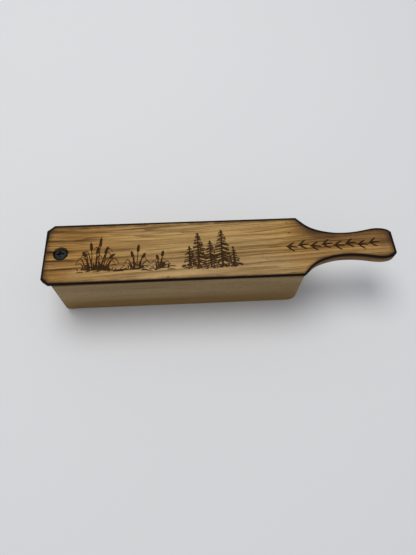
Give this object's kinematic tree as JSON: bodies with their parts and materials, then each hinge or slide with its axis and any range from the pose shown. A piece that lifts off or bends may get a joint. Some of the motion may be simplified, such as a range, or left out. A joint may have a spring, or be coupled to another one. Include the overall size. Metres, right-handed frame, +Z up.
{
  "type": "box turkey call",
  "caption": "Long shallow wooden sound box with a paddle lid that swings and rocks on a sprung screw and ends in a waisted handle.",
  "frame": {"origin": "on the resting plane, under the centre of the overall bounding box", "axes": "+X along the call from the pivot end to the handle's tip, +Y across the lid, +Z up out of the lid's flat top"},
  "size_m": [0.2196, 0.0424, 0.0436],
  "materials": {
    "box_wood": "sanded, bare, pale close-grained wood",
    "block_wood": "sanded, bare, pale close-grained wood",
    "lid_wood": "satin, tan-gold wood with dark streaks and scorched edges",
    "black_steel": "black oxide",
    "spring_steel": "drawn wire",
    "washer_steel": "plain"
  },
  "bodies": {
    "box": {"front_side_board": "box_wood", "rear_side_board": "box_wood", "base_board": "box_wood", "pivot_end_block": "block_wood", "handle_end_block": "block_wood", "pivot_screw": "black_steel"},
    "swivel": {"pivot_washer": "washer_steel", "pivot_spring": "spring_steel"},
    "lid": {"lid_paddle": "lid_wood"}
  },
  "joints": [
    {"name": "lid_swing", "type": "hinge", "parent": "box", "child": "swivel", "pos_m": [-0.09965, 0, 0.0364], "axis": [0, 0, 1], "range_deg": [-90, 90]},
    {"name": "lid_tilt", "type": "hinge", "parent": "swivel", "child": "lid", "pos_m": [-0.1044, 0, 0.03635], "axis": [0, -1, 0], "range_deg": [0, 4], "stiffness_Nm_per_rad": 0.3, "springref_deg": -11.46, "deforming": ["pivot_spring"]}
  ]
}
